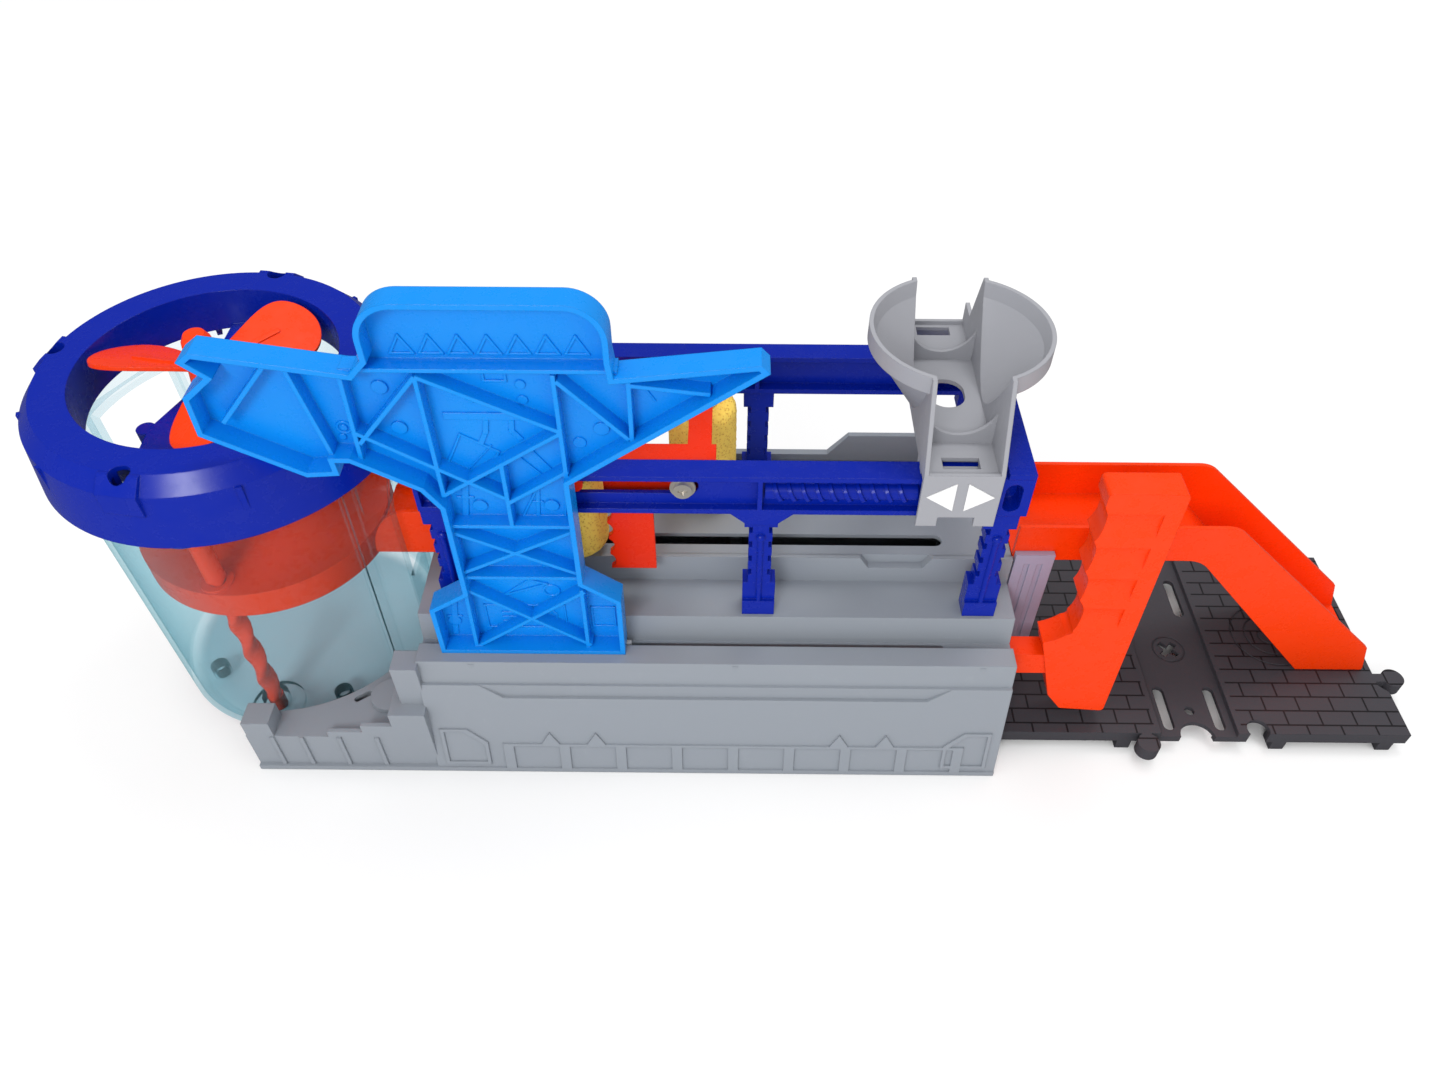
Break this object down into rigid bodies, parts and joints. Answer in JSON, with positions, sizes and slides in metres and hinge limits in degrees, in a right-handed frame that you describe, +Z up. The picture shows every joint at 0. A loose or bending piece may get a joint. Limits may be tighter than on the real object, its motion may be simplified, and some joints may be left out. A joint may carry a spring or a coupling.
{
  "type": "toy car wash playset",
  "caption": "Toy car wash playset with a fan-driven lift tower, roller tunnel, sliding hopper, pull handle, open-backed sign and a ramp down to a road plate.",
  "frame": {"origin": "bottom centre of the playset's bounding box, on the table", "axes": "+X from the lift tower to the end of the road plate, +Y from the open back of the sign to the playing side, +Z up"},
  "size_m": [0.648, 0.164, 0.258],
  "materials": {
    "base_grey": "satin",
    "tank_teal": "clear",
    "frame_blue": "gloss",
    "sign_blue": "gloss",
    "orange": "gloss",
    "carriage_red": "gloss",
    "foam_gold": "porous",
    "silver_grey": "satin",
    "plate_dark": "satin",
    "support_lilac": "satin",
    "inner_white": "satin",
    "steel": "zinc",
    "mark_white": "satin"
  },
  "bodies": {
    "base": {"base_shell": "base_grey", "base_cover": "base_grey", "base_screws": "steel", "tank_shell": "tank_teal", "tank_ring": "frame_blue", "gear_cover": "frame_blue", "gear_screws": "steel", "idler_pin": "steel", "entry_chute": "orange", "near_frame": "frame_blue", "far_frame": "frame_blue", "frame_ties": "frame_blue", "sign_panel": "sign_blue", "ramp": "orange", "ramp_support": "support_lilac", "road_plate": "plate_dark"},
    "fan": {"fan_rotor": "orange", "fan_gear": "inner_white"},
    "idler": {"idler_gear": "inner_white"},
    "screw": {"lift_screw": "orange", "drive_gear": "inner_white"},
    "platform": {"lift_platform": "orange"},
    "handle": {"handle_grip": "orange", "handle_rod": "orange", "handle_screws": "steel", "car_pusher": "inner_white"},
    "carriage": {"roller_carriage": "carriage_red", "guide_screw": "steel", "guide_washer": "steel", "roller_axles": "steel", "roller_caps": "steel"},
    "near_roller": {"near_roller_foam": "foam_gold", "near_roller_core": "inner_white"},
    "far_roller": {"far_roller_foam": "foam_gold", "far_roller_core": "inner_white"},
    "hopper_body": {"hopper": "silver_grey", "arrow_marks": "mark_white"}
  },
  "joints": [
    {"name": "fan_spin", "type": "hinge", "parent": "base", "child": "fan", "pos_m": [-0.246, 0.004, 0.176], "axis": [0, 0, 1], "range_deg": [0, 600]},
    {"name": "idler_turn", "type": "hinge", "parent": "base", "child": "idler", "pos_m": [-0.24948, -0.02076, 0.156], "axis": [0, 0, 1], "range_deg": [-402, 0]},
    {"name": "screw_turn", "type": "hinge", "parent": "base", "child": "screw", "pos_m": [-0.25296, -0.04551, 0.09], "axis": [0, 0, 1], "range_deg": [0, 602]},
    {"name": "lift_travel", "type": "slide", "parent": "base", "child": "platform", "axis": [0, 0, 1], "range_m": [-0.0702, 0]},
    {"name": "handle_pull", "type": "slide", "parent": "base", "child": "handle", "axis": [1, 0, 0], "range_m": [0, 0.14]},
    {"name": "carriage_slide", "type": "slide", "parent": "base", "child": "carriage", "axis": [1, 0, 0], "range_m": [-0.028, 0]},
    {"name": "near_roller_spin", "type": "hinge", "parent": "carriage", "child": "near_roller", "pos_m": [-0.094, -0.0205, 0.12], "axis": [0, 0, 1], "continuous": true},
    {"name": "far_roller_spin", "type": "hinge", "parent": "carriage", "child": "far_roller", "pos_m": [-0.036, 0.0135, 0.12], "axis": [0, 0, 1], "continuous": true},
    {"name": "hopper_slide", "type": "slide", "parent": "base", "child": "hopper_body", "axis": [1, 0, 0], "range_m": [-0.06, 0]}
  ],
  "couplings": [
    {"joint": "idler_turn", "follows": "fan_spin", "ratio": -0.66667},
    {"joint": "screw_turn", "follows": "fan_spin", "ratio": 1},
    {"joint": "lift_travel", "follows": "fan_spin", "m_per_rad": -0.0066845}
  ]
}
